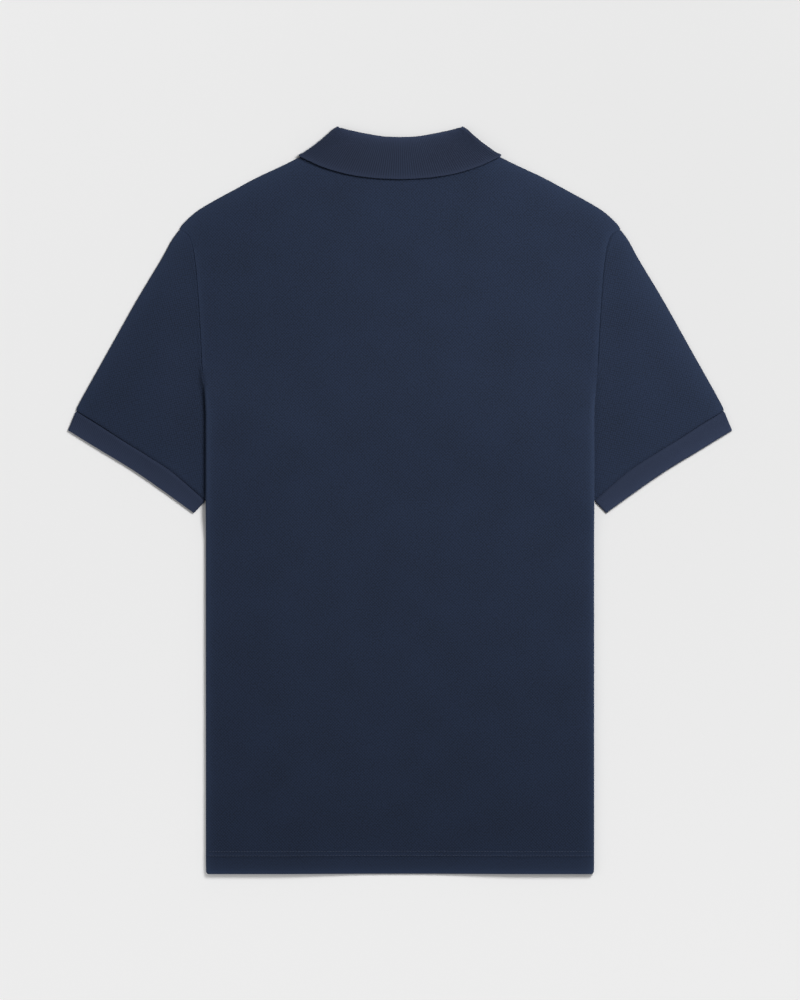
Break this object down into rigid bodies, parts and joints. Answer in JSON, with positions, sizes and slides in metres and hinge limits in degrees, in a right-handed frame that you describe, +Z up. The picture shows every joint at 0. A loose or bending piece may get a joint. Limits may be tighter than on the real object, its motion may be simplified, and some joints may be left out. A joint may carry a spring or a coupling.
{
  "type": "polo shirt",
  "caption": "Short-sleeved polo shirt in knitted pique with a rib collar, cuff bands and a buttoned placket, laid flat with its back up and its body sides tucked under.",
  "frame": {"origin": "middle of the shirt's outline, on the surface that the shirt lies on", "axes": "+X across the shirt, +Y from the hem to the collar, +Z up out of the back"},
  "size_m": [0.6508, 0.733, 0.0092],
  "materials": {
    "navy_pique": "matt knitted cotton pique",
    "navy_rib": "matt rib knit",
    "navy_button": "polished polyester"
  },
  "bodies": {
    "root": {"back_panel": "navy_pique", "front_panel": "navy_pique", "sleeve_left": "navy_pique", "sleeve_right": "navy_pique", "cuff_left": "navy_rib", "cuff_right": "navy_rib", "collar": "navy_rib", "placket_outer": "navy_pique", "placket_inner": "navy_pique", "button_1": "navy_button", "button_2": "navy_button", "button_3": "navy_button"}
  },
  "joints": []
}
